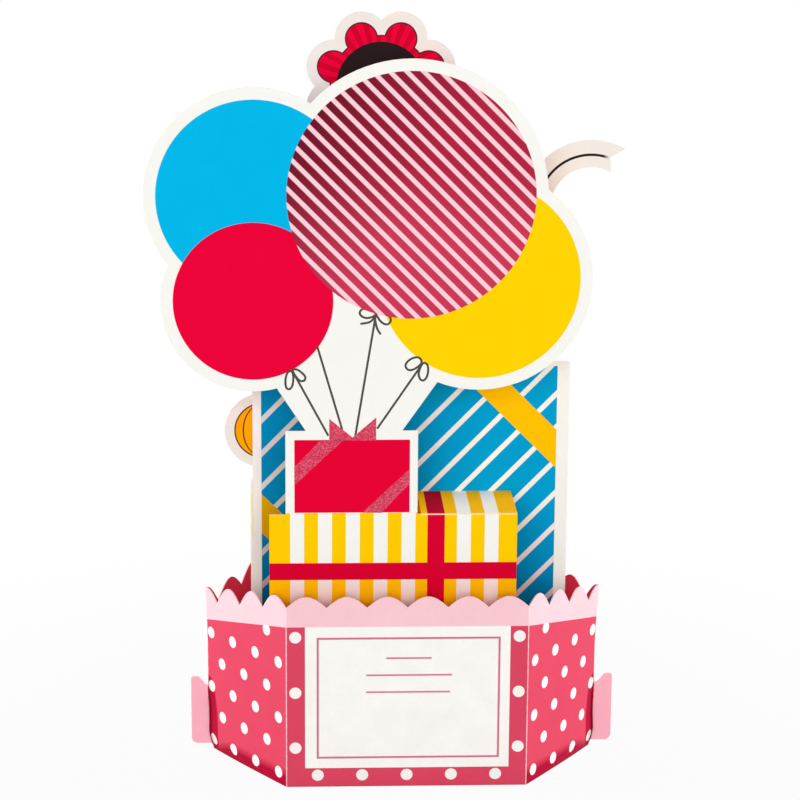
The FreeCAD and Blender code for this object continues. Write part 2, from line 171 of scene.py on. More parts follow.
class StageSettings(PropertyGroup):
    """Floor, lamps and camera."""

    floor_size: FloatProperty(name="Floor", description="Width of the floor", default=8.0, unit="LENGTH")
    side_lamps: FloatProperty(name="Side lamps", description="Power of each side lamp", default=7.6)
    front_lamp: FloatProperty(name="Front lamp", description="Power of the front lamp", default=24.5)
    rear_lamp: FloatProperty(name="Rear lamp", description="Power of the rear lamp", default=11.0)
    sky_light: FloatProperty(name="Room light", description="Strength of the room", default=0.46)
    focal_length: FloatProperty(name="Focal length", description="Camera lens in mm", default=121.07)


def settings(kind):
    """One group of the card's settings in this scene."""
    return getattr(bpy.context.scene, f"pop_card_{kind}")


# Modelling helpers


def pick_only(*objects):
    """Leaves just these objects selected, the last one active."""
    if bpy.context.object and bpy.context.object.mode != "OBJECT":
        bpy.ops.object.mode_set(mode="OBJECT")
    bpy.ops.object.select_all(action="DESELECT")
    for piece in objects:
        piece.select_set(True)
    bpy.context.view_layer.objects.active = objects[-1]


def settle(piece):
    """Moves the place, turn and scale of a piece into its mesh."""
    pick_only(piece)
    bpy.ops.object.transform_apply(location=True, rotation=True, scale=True)


def pick_points(piece, test):
    """Selects the vertices whose index and place pass a test."""
    mesh = piece.data
    for group in (mesh.polygons, mesh.edges):
        group.foreach_set("select", [False] * len(group))
    mesh.vertices.foreach_set("select", [bool(test(v)) for v in mesh.vertices])


def edit_mode(piece, pick="VERT"):
    pick_only(piece)
    bpy.ops.object.mode_set(mode="EDIT")
    bpy.ops.mesh.select_mode(type=pick)


def object_mode():
    bpy.ops.object.mode_set(mode="OBJECT")


def score(piece, normal, places):
    """Cuts a mesh along parallel planes so that it can bend there."""
    edit_mode(piece)
    for place in places:
        bpy.ops.mesh.select_all(action="SELECT")
        bpy.ops.mesh.bisect(plane_co=Vector(normal) * place, plane_no=normal, threshold=HAIR)
    object_mode()


def steps(low, high, pitch):
    """Evenly spaced places strictly between two ends."""
    count = max(1, round((high - low) / pitch))
    return [low + (high - low) * k / count for k in range(1, count)]


def ease(share):
    """A smooth rise from 0 to 1."""
    share = min(1.0, max(0.0, share))
    return share * share * (3 - 2 * share)


def smooth(piece, degrees):
    pick_only(piece)
    bpy.ops.object.shade_smooth_by_angle(angle=math.radians(degrees))


def finish_piece(piece, name, slot, *materials):
    """Names the piece, gives it its materials and lets it ride on the card's body."""
    piece.name = piece.data.name = name
    if materials:
        kept = [p.material_index for p in piece.data.polygons]
        piece.data.materials.clear()
        for material in materials:
            piece.data.materials.append(material)
        piece.data.polygons.foreach_set("material_index", kept)
    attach(piece, "root")
    return piece


# Printing helpers


class Ink:
    """A number inside a material. Arithmetic on it adds nodes, so that a print reads as a formula."""

    def __init__(self, tree, socket):
        self.tree = tree
        self.socket = socket

    def step(self, operation, *others, clamp=False):
        node = self.tree.nodes.new("ShaderNodeMath")
        node.operation = operation
        node.use_clamp = clamp
        for socket, value in zip(node.inputs, (self, *others)):
            feed(self.tree, socket, value)
        return Ink(self.tree, node.outputs[0])

    def __add__(self, other):
        return self.step("ADD", other)

    def __sub__(self, other):
        return self.step("SUBTRACT", other)

    def __rsub__(self, other):
        return self.step("MULTIPLY_ADD", -1.0, other)

    def __mul__(self, other):
        return self.step("MULTIPLY", other)

    __rmul__ = __mul__

    def __truediv__(self, other):
        return self.step("DIVIDE", other)

    def __abs__(self):
        return self.step("ABSOLUTE")

    def least(self, other):
        return self.step("MINIMUM", other)

    def most(self, other):
        return self.step("MAXIMUM", other)

    def rise(self, low, high):
        """Grows from 0 at one limit to 1 at the other, and stays there."""
        return ((self - low) / (high - low)).step("MAXIMUM", 0.0, clamp=True)

    def sharp(self, soft=0.06):
        """1 where the number is above zero and 0 below, with an edge as soft as printed ink."""
        return self.step("MULTIPLY_ADD", 0.5 / soft, 0.5, clamp=True)


def feed(tree, socket, value):
    """Links an ink or a socket to an input, or sets a plain value on it."""
    if isinstance(value, Ink):
        value = value.socket
    if isinstance(value, bpy.types.NodeSocket):
        tree.links.new(value, socket)
    elif hasattr(value, "__len__") and len(value) == 3 and len(socket.default_value) == 4:
        socket.default_value = (*value, 1.0)
    else:
        socket.default_value = value


def apart(tree, socket):
    """The three numbers of a place or a direction."""
    split = tree.nodes.new("ShaderNodeSeparateXYZ")
    tree.links.new(socket, split.inputs[0])
    return [Ink(tree, out) for out in split.outputs]


def how_far(across, up):
    """Distance to a place that lies so far across and so far up."""
    return (across * across + up * up).step("SQRT")


def clean_tree(owner, kind):
    """The emptied node tree of a material or of the room, and its output."""
    owner.use_nodes = True
    tree = owner.node_tree
    tree.nodes.clear()
    return tree, tree.nodes.new(f"ShaderNodeOutput{kind}")


# Grains per millimetre of the paper's fibres and of its slow clouds, and how they show.
FIBRES, CLOUDS = 1.6, 0.11
FIBRE_STRETCH = (1.0, 1.0, 0.55)
CLOUD_SHARE = 1.6
ROUGHNESS_SPREAD = 0.1


class CardPrint:
    """A card material in the making. Its x, y and z are millimetres from the middle of the card."""

    def __init__(self, name, ground):
        self.material = bpy.data.materials.new(name)
        self.tree, output = clean_tree(self.material, "Material")
        self.shader = self.tree.nodes.new("ShaderNodeBsdfPrincipled")
        self.tree.links.new(self.shader.outputs[0], output.inputs[0])
        coordinates = self.tree.nodes.new("ShaderNodeTexCoord")
        self.place = self.vector("MULTIPLY_ADD", coordinates.outputs["Object"], (1 / MM,) * 3)
        self.place.node.inputs[2].default_value = (-CENTRE / MM, 0.0, 0.0)
        self.flat = self.vector("MULTIPLY", self.place, (1.0, 0.0, 1.0))
        self.x, self.y, self.z = apart(self.tree, self.place)
        self.ink = tuple(ground)

    def vector(self, operation, first, second, output=0):
        node = self.tree.nodes.new("ShaderNodeVectorMath")
        node.operation = operation
        feed(self.tree, node.inputs[0], first)
        feed(self.tree, node.inputs[1], second)
        return node.outputs[output]

    def measure(self, name):
        """A number stored on the points of the mesh."""
        node = self.tree.nodes.new("ShaderNodeAttribute")
        node.attribute_name = name
        return Ink(self.tree, node.outputs["Fac"])

    def normal(self):
        """Which way the surface faces."""
        node = self.tree.nodes.new("ShaderNodeNewGeometry")
        return apart(self.tree, node.outputs["Normal"])

    def circle(self, x, z, radius):
        """How far inside a circle the place is."""
        distance = self.vector("DISTANCE", self.flat, (x, 0.0, z), output=1)
        return radius - Ink(self.tree, distance)

    def rectangle(self, left, right, foot, top):
        """How far inside a rectangle the place is."""
        return between(self.x, left, right).least(between(self.z, foot, top))

    def lay(self, field, ink, soft=0.06, strength=1.0):
        """Prints an ink where a field is above zero."""
        cover = field.sharp(soft)
        if strength != 1.0:
            cover = cover * strength
        self.ink = self.blend(cover, self.ink, ink)

    def paint_shade(self, value, low, high, shade):
        """Paints shade over the inks, growing as a place falls from its high to its low limit."""
        shaded = self.blend(1.0, self.ink, shade, "MULTIPLY")
        self.ink = self.blend(value.rise(high, low), self.ink, shaded)

    def blend(self, share, first, second, mode="MIX"):
        """One ink turning into another."""
        node = self.tree.nodes.new("ShaderNodeMix")
        node.data_type = "RGBA"
        node.blend_type = mode
        for socket, value in zip((node.inputs[0], node.inputs[6], node.inputs[7]), (share, first, second)):
            feed(self.tree, socket, value)
        return node.outputs[2]

    def noise(self, per_mm, detail=2.0, stretch=(1.0, 1.0, 1.0)):
        """Soft random grain, with its size in grains per millimetre."""
        node = self.tree.nodes.new("ShaderNodeTexNoise")
        self.tree.links.new(self.vector("MULTIPLY", self.place, stretch), node.inputs["Vector"])
        node.inputs["Scale"].default_value = per_mm
        node.inputs["Detail"].default_value = detail
        return Ink(self.tree, node.outputs[0])

    def ends(self, roughness=0.55, gloss=0.3, tooth=0.5, mottle=0.05, grain=None, depth=0.02):
        """Gives the print its paper: fibres, uneven ink, tooth and gloss."""
        fibres = self.noise(FIBRES, 4.0, FIBRE_STRETCH)
        cloud = self.noise(CLOUDS, 3.0)
        shade = (fibres - 0.5) * mottle + 1.0 + (cloud - 0.5) * (mottle * CLOUD_SHARE)
        tint = self.tree.nodes.new("ShaderNodeCombineColor")
        for socket in tint.inputs:
            feed(self.tree, socket, shade)
        mixed = self.blend(1.0, self.ink, tint.outputs[0], "MULTIPLY")
        feed(self.tree, self.shader.inputs["Base Color"], mixed)
        uneven = (fibres - 0.5) * ROUGHNESS_SPREAD + roughness
        feed(self.tree, self.shader.inputs["Roughness"], uneven)
        self.shader.inputs["Specular IOR Level"].default_value = gloss
        bump = self.tree.nodes.new("ShaderNodeBump")
        bump.inputs["Strength"].default_value = tooth
        bump.inputs["Distance"].default_value = depth * MM
        feed(self.tree, bump.inputs["Height"], grain or fibres)
        self.tree.links.new(bump.outputs[0], self.shader.inputs["Normal"])
        return self.material


def between(value, low, high):
    """How far a number is inside its two limits."""
    return (high - low) / 2 - abs(value - (low + high) / 2)


def stripes(value, pitch, width, phase):
    """How far a number is inside the nearest of evenly spaced stripes."""
    return width / 2 - (value - phase).step("PINGPONG", pitch / 2)


def plain_card(name, ink, edge=None, **finish):
    """Card of one colour, with the pale core showing where it is cut."""
    work = CardPrint(name, ink)
    if edge is not None:
        facing = abs(work.normal()[1])
        work.lay(0.5 - facing, edge, soft=0.1)
    return work.ends(**finish)


def cut_edge(name="card_core", light=tone(250, 243, 236), dark=tone(238, 224, 216)):
    """The core of the card along its cut edges, layered as board is."""
    found = bpy.data.materials.get(name)
    if found:
        return found
    work = CardPrint(name, light)
    layers = work.noise(3.0, 2.0, (0.3, 4.0, 0.3))
    work.ink = work.blend(layers, light, dark)
    return work.ends(roughness=0.8, gloss=0.1, tooth=0.8)


# The sleeve is cut as one strip, scalloped, slotted and then folded

STRIP_HEIGHT = 60 * MM
STRIP_ROWS, SCALLOP_COLUMNS, FLAP_COLUMNS = 24, 16, 12
FOOT_ROWS = [(row + 0.7) * MM for row in range(8)]
# Where the rows start to rise towards the rim, and how far the flap stays below it.
RIM_START, FLAP_DROP = 45 * MM, 6 * MM
# The strip's two ends stay this far apart, and a line is scored this far from each fold.
SEAM_GAP, SCORE = 0.1 * MM, 0.3 * MM
FAR_DROP_REACH = 8 * MM

# The print: columns of dots from the middle to the front fold, then boxes in millimetres.
FRONT_COLUMNS = 6
LABEL = (-33.8, 34.0, 6.6, 56.4)
LABEL_FRAME = (-29.6, 30.4, 10.3, 51.9)
RULED_LINES = ((-7.0, 8.0, 45.0), (-13.6, 14.8, 39.1), (-13.6, 14.2, 33.2))
# Half widths of the label's frame, of its ruled lines, and of the pale line along the folds, which is
# partly wear and partly a painted highlight.
FRAME_HALF, RULE_HALF, WORN_AND_HIGHLIT_HALF = 0.36, 0.3, 0.2
# Below the crease above the foot, the painted shade on the crimson reaches its deepest after this many
# millimetres.
PAINTED_SHADE_FADE = 3.0

# The patch of painted shade on the curled edge beside a slot: the height of its widest place, and how
# blunt its ends are.
LENS_WIDEST, LENS_SHAPE = 6.5 * MM, 0.35
# The crease above the foot, below which shade is painted: lowest height and rise in millimetres, reach,
# and its shape.
CREASE_LOW, CREASE_RISE, CREASE_REACH, CREASE_SHAPE = 1.0, 5.5, 14 * MM, 0.7

# The bends beside a side fold: their reach, and the heights where they fade.
BEND_REACH = 25 * MM
LEAN_TOP, LEAN_FADE, LEAN_FOOT = 60 * MM, 24 * MM, 16 * MM
TUCK_TOP, PRESS_SOFT = 30 * MM, 1.2 * MM
SLOT_WIDEST, CURL_REACH = 7 * MM, 9 * MM
LIP, LIP_SHIFT = 0.9 * MM, 0.2 * MM
# The glued flap: where it starts beyond the fold, and how far it lies behind the panel.
FLAP_START, FLAP_SHIFT = 0.2 * MM, CARD + 0.02 * MM

Path = namedtuple("Path", "near side far end")


def path_of_sleeve():
    """Folds along the strip, from the middle of the front: front, side and far fold, and the end."""
    width = settings("sleeve").panel_width
    near = width / 2
    slanting = math.hypot(HALF_WIDTH - near, HALF_DEPTH)
    return Path(near, near + slanting, near + 2 * slanting, near + 2 * slanting + width)


def from_middle(along, path):
    """Distance along the strip from the middle of the front or of the back, the nearer one."""
    return min(abs(along), path.near + path.far - abs(along))


def belly(z, foot, widest, head):
    """1 at the widest place, and 0 at the foot and the head."""
    return (z - foot) / (widest - foot) if z < widest else (head - z) / (head - widest)


def rim_height(along):
    """Height of the scalloped rim at a place along the strip."""
    sizes, path = settings("sleeve"), path_of_sleeve()
    around = from_middle(along, path)
    valley, rise = sizes.rim_valley, sizes.scallop_rise
    if around <= path.near:
        turn = (around + path.near) / (2 * path.near) * sizes.scallops_front
    else:
        share = (around - path.near) / (path.side - path.near)
        turn = share * sizes.scallops_side
        blend = min(1.0, turn)
        valley -= sizes.rim_drop * share + sizes.rim_dip * blend
        rise += (sizes.side_rise - rise) * blend
    valley -= sizes.far_drop * ease((abs(along) - path.side) / FAR_DROP_REACH)
    return valley + rise * abs(math.sin(math.pi * turn))


def dot_column(along):
    """Which column of dots a place lies on, counted from the middle of the front."""
    sizes = settings("sleeve")
    around = from_middle(along, path_of_sleeve())
    last = FRONT_COLUMNS * sizes.dot_pitch
    if around <= last:
        return around / sizes.dot_pitch
    return FRONT_COLUMNS + (around - last) / sizes.dot_pitch_side


def sleeve_print():
    """Dots on crimson, painted shade beside the slots and along the foot, the pale band under the rim, the
    white label, and the folds, pale with wear and a painted highlight.
    """
    colours, sizes = settings("colours"), settings("sleeve")
    work = CardPrint("sleeve_print", colours.crimson)
    # Painted shade: the crimson turns deep beside each slot and below the crease above the foot.
    curled_and_shaded = work.measure("lens").sharp(0.35)
    pressed_and_shaded = curled_and_shaded.most(work.measure("foot").rise(0.0, PAINTED_SHADE_FADE))
    work.ink = work.blend(pressed_and_shaded, colours.crimson, colours.pressed_and_shaded)
    band, column = work.measure("band"), work.measure("column")
    on_side = (column - float(FRONT_COLUMNS)).sharp(0.01)
    narrower = (sizes.dot_pitch - sizes.dot_pitch_side) / MM
    pitch = sizes.dot_pitch / MM - on_side * narrower
    radius, rise, foot = sizes.dot_size / MM / 2, sizes.dot_rise / MM, sizes.dot_foot / MM
    dots = None
    for odd in (0, 1):
        across = (column - odd).step("PINGPONG", 1.0) * pitch
        up = work.z - foot - odd * rise / 2
        up = up - (up / rise).step("ROUND") * rise
        dot = (radius - how_far(across, up)).least(up - band)
        dots = dot if dots is None else dots.most(dot)
    work.lay(dots, colours.card, soft=0.12)
    front = -HALF_DEPTH / MM + 0.1 - work.y
    work.lay(work.rectangle(*LABEL).least(front), tone(249, 248, 243), soft=0.05)
    frame_line = FRAME_HALF - abs(work.rectangle(*LABEL_FRAME))
    work.lay(frame_line.least(front), colours.label_ink, soft=0.08)
    for left, right, height in RULED_LINES:
        ruled = work.rectangle(left, right, height - RULE_HALF, height + RULE_HALF)
        work.lay(ruled.least(front), colours.label_ink, soft=0.1)
    work.lay(band, colours.band, soft=0.08)
    # A pale line along each fold, broken by noise: partly wear, partly a painted highlight.
    worn_and_highlit = WORN_AND_HIGHLIT_HALF - work.measure("crease") + (work.noise(0.9, 3.0) - 0.5) * 0.25
    work.lay(worn_and_highlit, tone(252, 226, 230), soft=0.12, strength=0.75)
    return work.ends(roughness=0.3, gloss=0.08, tooth=0.06, mottle=0.07)


def fold_strip(piece, along, where, pivot, degrees):
    """Turns everything beyond a fold about it, as when card is folded by hand."""
    side = 1 if where > 0 else -1
    pick_points(piece, lambda v: (along[v.index] - where) * side > HAIR / 10)
    edit_mode(piece)
    bpy.ops.transform.rotate(
        value=-math.radians(degrees) * side,
        orient_axis="Z",
        orient_type="GLOBAL",
        center_override=(pivot[0], pivot[1], 0.0),
    )
    object_mode()


class CARD_OT_sleeve(Operator):
    """The hexagonal sleeve: one strip of card, scalloped, slotted, folded and glued"""

    bl_idname = "pop_card.sleeve"
    bl_label = "Sleeve"

    def execute(self, context):
        sizes, path = settings("sleeve"), path_of_sleeve()
        strip = self.flat_strip(path)
        folds = (-path.far, -path.side, -path.near, path.near, path.side, path.far)
        score(strip, (1, 0, 0), [place + off for place in folds for off in (-SCORE, SCORE)])
        score(strip, (0, 0, 1), [sizes.slot_sill, sizes.slot_head])
        score(strip, (0, 0, 1), FOOT_ROWS)
        self.cut_slots(strip, path)
        self.shape_rim(strip, path)
        along = [v.co.x for v in strip.data.vertices]
        self.mark(strip, along, folds, path)
        outward = self.far_edges(strip, along, path)
        self.fold_up(strip, along, path)
        self.bend(strip, along, path, outward)
        strip.location.x = CENTRE
        settle(strip)
        self.thicken(strip)
        smooth(strip, 80)
        finish_piece(strip, "sleeve", "sleeve_card")
        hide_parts("base_sleeve")
        return {"FINISHED"}

    def flat_strip(self, path):
        """The flap and the six panels side by side, joined into one upright strip."""
        sizes = settings("sleeve")
        columns = SCALLOP_COLUMNS * sizes.scallops_front
        side_columns = round(SCALLOP_COLUMNS * sizes.scallops_side)
        panels = (
            (-path.far - sizes.flap_width, -path.far, FLAP_COLUMNS),
            (-path.far, -path.side, side_columns),
            (-path.side, -path.near, side_columns),
            (-path.near, path.near, columns),
            (path.near, path.side, side_columns),
            (path.side, path.far, side_columns),
            (path.far, path.end - SEAM_GAP, columns),
        )
        strips = []
        for start, stop, count in panels:
            bpy.ops.mesh.primitive_grid_add(
                x_subdivisions=count,
                y_subdivisions=STRIP_ROWS,
                size=1,
                location=((start + stop) / 2, 0, STRIP_HEIGHT / 2),
                rotation=(math.pi / 2, 0, 0),
            )
            panel = bpy.context.object
            panel.scale = (stop - start, STRIP_HEIGHT, 1)
            settle(panel)
            strips.append(panel)
        pick_only(*strips)
        bpy.ops.object.join()
        strip = bpy.context.object
        edit_mode(strip)
        bpy.ops.mesh.select_all(action="SELECT")
        bpy.ops.mesh.remove_doubles(threshold=HAIR)
        object_mode()
        return strip

    def cut_slots(self, strip, path):
        """Parts the mesh along both side folds where the hooks come out."""
        sizes, mesh = settings("sleeve"), strip.data
        low, high = sizes.slot_sill - HAIR, sizes.slot_head + HAIR
        pick_points(strip, lambda v: False)
        for edge in mesh.edges:
            ends = [mesh.vertices[k].co for k in edge.vertices]
            edge.select = all(abs(abs(p.x) - path.side) < HAIR and low < p.z < high for p in ends)
        edit_mode(strip, "EDGE")
        bpy.ops.mesh.edge_split(type="EDGE")
        object_mode()

    def shape_rim(self, strip, path):
        """Draws the upper rows up to the scalloped rim, and lowers the glued flap."""
        sizes = settings("sleeve")
        for vertex in strip.data.vertices:
            x, z = vertex.co.x, vertex.co.z
            if x < -path.far - HAIR:
                low, high = sizes.slot_sill, sizes.rim_valley - FLAP_DROP
                vertex.co.z = low + (high - low) * z / STRIP_HEIGHT
            elif z > RIM_START:
                share = (z - RIM_START) / (STRIP_HEIGHT - RIM_START)
                vertex.co.z = RIM_START + share * (rim_height(x) - RIM_START)

    def mark(self, strip, along, folds, path):
        """Stores on each point what the print reads: its column of dots and, in millimetres, the
        height above the rim band, the distance to a fold, how far it lies inside the curled edge
        beside a slot, and how far below the crease above the foot, the last two being where shade is
        painted."""
        sizes, mesh = settings("sleeve"), strip.data
        fields = {name: [] for name in ("column", "band", "crease", "lens", "foot")}
        for s, vertex in zip(along, mesh.vertices):
            around, z = from_middle(s, path), vertex.co.z
            away = path.side - around
            rise = belly(z, 0.0, LENS_WIDEST, sizes.lens_head)
            open_by = math.sin(math.pi / 2 * max(0.0, rise)) ** LENS_SHAPE
            crease = CREASE_LOW + CREASE_RISE * min(1.0, away / CREASE_REACH) ** CREASE_SHAPE
            drop = max(0.0, (around - path.near) / (path.side - path.near)) * sizes.band_drop
            fields["column"].append(dot_column(s))
            fields["band"].append((z - sizes.band_foot + drop) / MM)
            fields["crease"].append(min(abs(s - place) for place in folds) / MM)
            fields["lens"].append((sizes.lens_width * open_by - away) / MM if rise > 0 else -1.0)
            fields["foot"].append(crease - z / MM if around > path.near + HAIR else -1.0)
        for name, values in fields.items():
            layer = mesh.attributes.new(name, "FLOAT", "POINT")
            layer.data.foreach_set("value", values)

    def far_edges(self, strip, along, path):
        """For each point on a side fold, whether it belongs to a far panel, a near one or both."""
        kinds = {}
        for face in strip.data.polygons:
            beyond = abs(face.center.x) > path.side
            for k in face.vertices:
                if abs(abs(along[k]) - path.side) < HAIR:
                    kinds.setdefault(k, set()).add(1 if beyond else -1)
        return {k: sum(sides) for k, sides in kinds.items()}

    def fold_up(self, strip, along, path):
        """Stands the strip in front and folds it round at its six folds."""
        strip.data.transform(Matrix.Translation((0, -HALF_DEPTH, 0)))
        turn = math.degrees(math.atan2(HALF_DEPTH, HALF_WIDTH - path.near))
        folds = (
            (path.near, path.near, -HALF_DEPTH, turn),
            (path.side, HALF_WIDTH, 0.0, 180 - 2 * turn),
            (path.far, path.near, HALF_DEPTH, turn),
        )
        for side in (1, -1):
            for place, x, y, degrees in folds:
                fold_strip(strip, along, side * place, (side * x, y), degrees)

    def bend(self, strip, along, path, outward):
        """Leans and tucks the side folds in, presses the foot of the side panels in below a
        slanting crease, rolls the slots' edges and lays the flap behind the back panel."""
        sizes = settings("sleeve")
        width, crease = path.side - path.near, sizes.foot_crease
        for vertex, s in zip(strip.data.vertices, along):
            away, z = abs(abs(s) - path.side), vertex.co.z
            side = 1 if s > 0 else -1
            near_fold = (1 - min(1.0, away / BEND_REACH)) ** 2
            lean = (sizes.lean_right if s > 0 else sizes.lean_left) * near_fold
            vertex.co.x -= side * lean * ease((LEAN_TOP - z) / LEAN_FADE) * ease(z / LEAN_FOOT)
            if s < -path.far - FLAP_START:
                vertex.co.y -= FLAP_SHIFT
                continue
            below = crease * (1 - away / width) - z
            if below > 0:
                pressed_and_shaded = below * below / (below + PRESS_SOFT) / crease
                vertex.co.x -= side * sizes.foot_bend * pressed_and_shaded
            if z < TUCK_TOP:
                vertex.co.x -= side * sizes.foot_tuck * (1 - z / TUCK_TOP) ** 2 * near_fold
            if sizes.slot_sill < z < sizes.slot_head:
                open_by = math.sin(math.pi / 2 * belly(z, sizes.slot_sill, SLOT_WIDEST, sizes.slot_head))
                if away < CURL_REACH:
                    vertex.co.x -= side * sizes.slot_curl * open_by * (1 - away / CURL_REACH) ** 2
                if vertex.index in outward:
                    vertex.co.y += outward[vertex.index] * LIP * open_by ** 0.5 + LIP_SHIFT

    def thicken(self, strip):
        """Gives the strip its print, its inside, its cut edge and the thickness of card."""
        inner = settings("colours").inner
        inside = plain_card("sleeve_inside", inner, roughness=0.5, gloss=0.1, mottle=0.08)
        edge = cut_edge("sleeve_core", tone(242, 204, 208), tone(222, 160, 170))
        for material in (sleeve_print(), inside, edge):
            strip.data.materials.append(material)
        wall = strip.modifiers.new("Card", "SOLIDIFY")
        wall.thickness = CARD
        wall.offset = -1
        wall.use_even_offset = True
        wall.use_quality_normals = True
        wall.material_offset = 1
        wall.material_offset_rim = 2
        bpy.ops.object.modifier_apply(modifier=wall.name)


# The standing sheets, and what is laid on them

BEND_START, BEND_HEIGHT = 95 * MM, 150 * MM
WAVE_LENGTH, WAVE_START = 38 * MM, 0.6
SHEET_GRID = 5 * MM


def bend_sheet(piece):
    """Leans and waves what stands above the gifts a little out of its plane."""
    sizes = settings("sheets")
    for vertex in piece.data.vertices:
        if vertex.co.z > BEND_START:
            high = (vertex.co.z - BEND_START) / BEND_HEIGHT
            wave = math.sin((vertex.co.x - CENTRE) / WAVE_LENGTH + WAVE_START)
            vertex.co.y += sizes.wave * high * wave - sizes.lean * high * high


def standing_sheet(node):
    """A copy of a flat CAD sheet, merged, scored on a grid and bent."""
    piece = bpy.data.objects.new(node + "_card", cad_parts[node].data.copy())
    bpy.context.scene.collection.objects.link(piece)
    edit_mode(piece)
    bpy.ops.mesh.select_all(action="SELECT")
    bpy.ops.mesh.remove_doubles(threshold=HAIR)
    bpy.ops.mesh.dissolve_limited(angle_limit=math.radians(0.5))
    object_mode()
    low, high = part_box(node)
    score(piece, (1, 0, 0), steps(low.x, high.x, SHEET_GRID))
    score(piece, (0, 0, 1), steps(low.z, high.z, SHEET_GRID))
    # Faces as narrow as the card is thick are its cut edge and take the second material.
    for face in piece.data.polygons:
        corners = [piece.data.vertices[k].co for k in face.vertices]
        deep = max(c.y for c in corners) - min(c.y for c in corners)
        tall = max(c.z for c in corners) - min(c.z for c in corners)
        flat_on = abs(face.normal.y) > 0.7 or (abs(face.normal.z) > 0.7 and deep > 1.5 * CARD)
        thin = deep < 1.2 * CARD or tall < 1.2 * CARD
        face.material_index = 0 if flat_on or not thin else 1
    bend_sheet(piece)
    smooth(piece, 30)
    return piece


def laid_on(outline, thickness, columns, rows):
    """A thin shape on the front sheet, cut from an outline in millimetres, scored and bent."""
    bpy.ops.mesh.primitive_circle_add(vertices=len(outline), radius=MM, fill_type="NGON")
    piece = bpy.context.object
    for vertex, (x, z) in zip(piece.data.vertices, outline):
        vertex.co = (CENTRE + x * MM, FRONT_FACE, z * MM)
    edit_mode(piece)
    bpy.ops.mesh.select_all(action="SELECT")
    bpy.ops.mesh.extrude_region_move(TRANSFORM_OT_translate={"value": (0, -thickness, 0)})
    bpy.ops.mesh.select_all(action="SELECT")
    bpy.ops.mesh.normals_make_consistent(inside=False)
    object_mode()
    score(piece, (1, 0, 0), [CENTRE + x * MM for x in columns])
    score(piece, (0, 0, 1), [z * MM for z in rows])
    bend_sheet(piece)
    return piece


# The front sheet, in millimetres: boxes are left, right, foot and top; discs are across, height
# and radius; stripes are pitch, width and phase.
GIFT_TOP, LID_START = 92.5, -27.0
GIFT_STRIPES, GIFT_SIDES = (9.16, 4.6, -36.25), (-40.0, 32.0)
RIBBON_UPRIGHT, RIBBON_LEVEL = (6.66, 12.37), (69.5, 75.3)
SMALL_GIFT = (-37.1, 0.7, 92.6, 117.3)
BALLOONS = {"sun": (22.9, 170.4, 32.5), "sky": (-49.9, 197.4, 31.2), "red": (-50.2, 163.4, 25.8)}
STRIPED, STRIPED_STRIPES = (0.6, 197.7, 40.0), (5.384, 2.07, 193.2)
# The painted highlight along the fold of the top: its height, half width, left and right ends, and the
# depth it stays in front of.
LID_CREASE, CREASE_HALF, CREASE_SIDES, CREASE_FRONT = 91.9, 0.22, (4.6, 36.3), -27.5
# Painted shade, tinted like light thrown back by the sleeve's crimson inside: it grows from 77 mm down to
# 62 mm, towards the rim.
GIFT_SHADE = (62.0, 77.0, tone(255, 213, 210))


def front_print():
    """The striped gift, the small gift and the balloons, with painted shade on the folded top and towards
    the rim, and a painted highlight along the top's fold.
    """
    colours = settings("colours")
    work = CardPrint("front_print", colours.card)
    gift = GIFT_TOP - work.z
    lid = (work.y - LID_START).least(gift)
    work.lay(gift, colours.yellow)
    # Painted shade: the folded top takes the darker copies of the yellow and the ribbon.
    work.lay(lid, colours.shaded_lid_yellow)
    white = stripes(work.x, *GIFT_STRIPES).least(between(work.x, *GIFT_SIDES))
    work.lay(white.least(gift), colours.card)
    upright = between(work.x, *RIBBON_UPRIGHT)
    work.lay(upright.least(gift), colours.ribbon)
    # Painted shade: the darker ribbon on the folded top.
    work.lay(upright.least(lid), colours.shaded_lid_ribbon)
    work.lay(between(work.z, *RIBBON_LEVEL), colours.ribbon)
    work.lay(work.rectangle(*SMALL_GIFT), colours.parcel)
    for ink, disc in BALLOONS.items():
        work.lay(work.circle(*disc), getattr(colours, ink))
    balloon = work.circle(*STRIPED)
    work.lay(balloon, colours.foil)
    pale = stripes(work.x + work.z, *STRIPED_STRIPES)
    work.lay(pale.least(balloon), colours.stripe)
    # Painted highlight: a pale line along the fold where the front turns into the folded top.
    crease = (CREASE_HALF - abs(work.z - LID_CREASE)).least(between(work.x, *CREASE_SIDES))
    work.lay(crease.least(CREASE_FRONT - work.y), tone(255, 236, 190), soft=0.1, strength=0.8)
    # Painted shade on the gift towards the rim.
    work.paint_shade(work.z, *GIFT_SHADE)
    return work.ends(roughness=0.6, gloss=0.02, mottle=0.03)


class CARD_OT_front_sheet(Operator):
    """The front sheet: striped gift, small gift and balloons"""

    bl_idname = "pop_card.front_sheet"
    bl_label = "Front sheet"

    def execute(self, context):
        piece = standing_sheet("front_gift_sheet")
        finish_piece(piece, "front_sheet", "printed_card", front_print(), cut_edge())
        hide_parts("front_gift_sheet")
        return {"FINISHED"}


# The foil's painted reflection is darkest at the upper left of the balloon and turns paler between these
# heights.
FOIL_FALL, FOIL_DARK_REFLECTION, FOIL_PALE_REFLECTION = 0.7, (-191.6, -136.6), (208.0, 184.0)
FOIL_CORNERS = 160
FOIL_GRID = range(-38, 40, 4), range(160, 238, 4)


